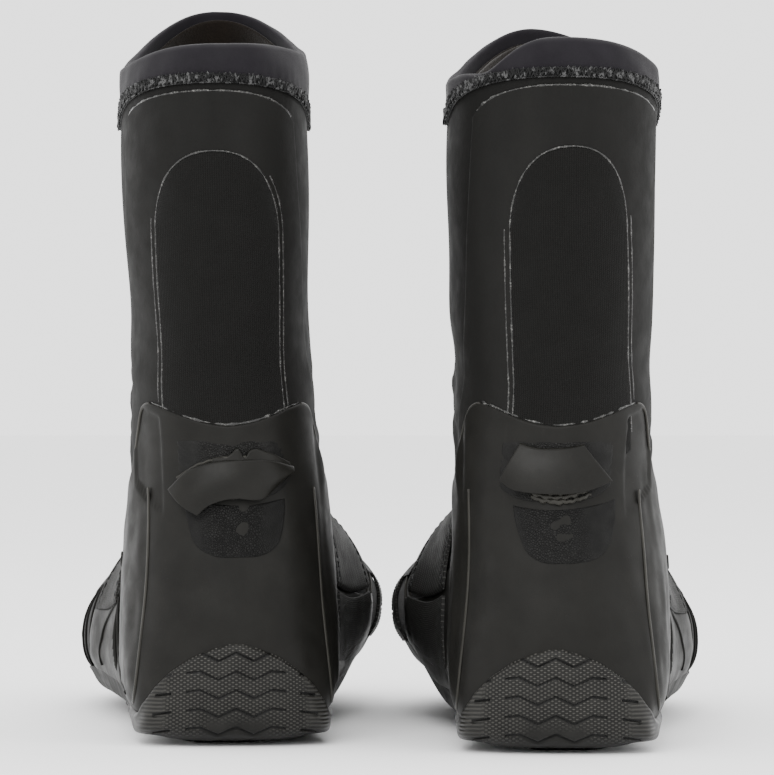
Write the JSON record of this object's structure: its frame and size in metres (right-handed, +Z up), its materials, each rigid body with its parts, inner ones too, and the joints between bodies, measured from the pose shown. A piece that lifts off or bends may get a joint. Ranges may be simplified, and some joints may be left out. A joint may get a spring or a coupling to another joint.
{
  "type": "neoprene_boots",
  "caption": "Pair of tall black neoprene surf boots standing upright, with rubber cup soles, two-lobed heel counters, heel pull tabs, instep straps and open soft cuffs.",
  "frame": {"origin": "centre of the footprint of the pair's bounding box, on the floor", "axes": "+Z up the legs, +Y from heels to toes, +X from the left boot to the right boot"},
  "size_m": [0.2391, 0.3215, 0.2681],
  "materials": {
    "sole_rubber": "matt moulded rubber with a fine diamond grain",
    "overlay_rubber": "satin moulded rubber sheet",
    "patch_rubber": "matt crackled rubber print",
    "tab_rubber": "satin rubberised webbing",
    "smoothskin_neoprene": "satin smooth-skin neoprene with fine pores",
    "jersey_neoprene": "knitted jersey face on neoprene",
    "soft_cuff": "soft brushed cuff face",
    "ribbed_fabric": "fine ribbed abrasion-resistant fabric",
    "strap_webbing": "smooth coated webbing with a stitched edge",
    "hook_tape": "hook tape",
    "insole_foam": "foam footbed with a knit face",
    "fleece_lining": "short brushed fleece",
    "seam_glue": "thin bead of clear seam glue over stitching",
    "stitching_thread": "glossy polyester overlock thread"
  },
  "bodies": {
    "left_foot": {"left_tread_plate": "sole_rubber", "left_sole_cup": "sole_rubber", "left_toe_bumper": "overlay_rubber", "left_insole": "insole_foam", "left_foot_shell": "jersey_neoprene", "left_foot_lining": "fleece_lining", "left_heel_counter": "overlay_rubber", "left_anchor_patch": "patch_rubber", "left_tab_base": "tab_rubber", "left_instep_panel": "ribbed_fabric", "left_strap_root": "strap_webbing", "left_hook_pad": "hook_tape"},
    "left_strap": {"left_instep_strap": "strap_webbing"},
    "left_tab": {"left_pull_tab": "tab_rubber"},
    "left_leg": {"left_ankle_gusset": "smoothskin_neoprene", "left_leg_back_panel": "smoothskin_neoprene", "left_leg_front_panel": "smoothskin_neoprene", "left_calf_insert": "jersey_neoprene", "left_insert_seam": "seam_glue", "left_cuff": "soft_cuff", "left_cuff_stitching": "stitching_thread", "left_leg_lining": "fleece_lining"},
    "right_foot": {"right_tread_plate": "sole_rubber", "right_sole_cup": "sole_rubber", "right_toe_bumper": "overlay_rubber", "right_insole": "insole_foam", "right_foot_shell": "jersey_neoprene", "right_foot_lining": "fleece_lining", "right_heel_counter": "overlay_rubber", "right_anchor_patch": "patch_rubber", "right_tab_base": "tab_rubber", "right_instep_panel": "ribbed_fabric", "right_strap_root": "strap_webbing", "right_hook_pad": "hook_tape"},
    "right_strap": {"right_instep_strap": "strap_webbing"},
    "right_tab": {"right_pull_tab": "tab_rubber"},
    "right_leg": {"right_ankle_gusset": "smoothskin_neoprene", "right_leg_back_panel": "smoothskin_neoprene", "right_leg_front_panel": "smoothskin_neoprene", "right_calf_insert": "jersey_neoprene", "right_insert_seam": "seam_glue", "right_cuff": "soft_cuff", "right_cuff_stitching": "stitching_thread", "right_leg_lining": "fleece_lining"}
  },
  "joints": [
    {"name": "left_ankle_flex", "type": "hinge", "parent": "left_foot", "child": "left_leg", "pos_m": [-0.05774, -0.06808, 0.075], "axis": [-0.9962, -0.0872, 0], "range_deg": [-15, 15], "stiffness_Nm_per_rad": 1.5, "deforming": ["left_ankle_gusset"]},
    {"name": "left_strap_open", "type": "hinge", "parent": "left_foot", "child": "left_strap", "pos_m": [-0.01239, -0.00429, 0.04433], "axis": [-0.0829, 0.9474, -0.309], "range_deg": [0, 40]},
    {"name": "left_tab_flip", "type": "hinge", "parent": "left_foot", "child": "left_tab", "pos_m": [-0.05341, -0.1234, 0.08913], "axis": [0.9962, 0.0872, 0], "range_deg": [0, 110]},
    {"name": "right_ankle_flex", "type": "hinge", "parent": "right_foot", "child": "right_leg", "pos_m": [0.06119, -0.09804, 0.075], "axis": [-0.9982, 0.0593, 0], "range_deg": [-15, 15], "stiffness_Nm_per_rad": 1.5, "deforming": ["right_ankle_gusset"]},
    {"name": "right_strap_open", "type": "hinge", "parent": "right_foot", "child": "right_strap", "pos_m": [0.01407, -0.03554, 0.04433], "axis": [-0.0564, -0.9494, 0.309], "range_deg": [0, 40]},
    {"name": "right_tab_flip", "type": "hinge", "parent": "right_foot", "child": "right_tab", "pos_m": [0.05787, -0.15132, 0.1039], "axis": [-0.9982, 0.0593, 0], "range_deg": [0, 110]},
    {"name": "right_boot_apart", "type": "slide", "parent": "left_foot", "child": "right_foot", "axis": [1, 0, 0], "range_m": [0, 0.2]}
  ]
}
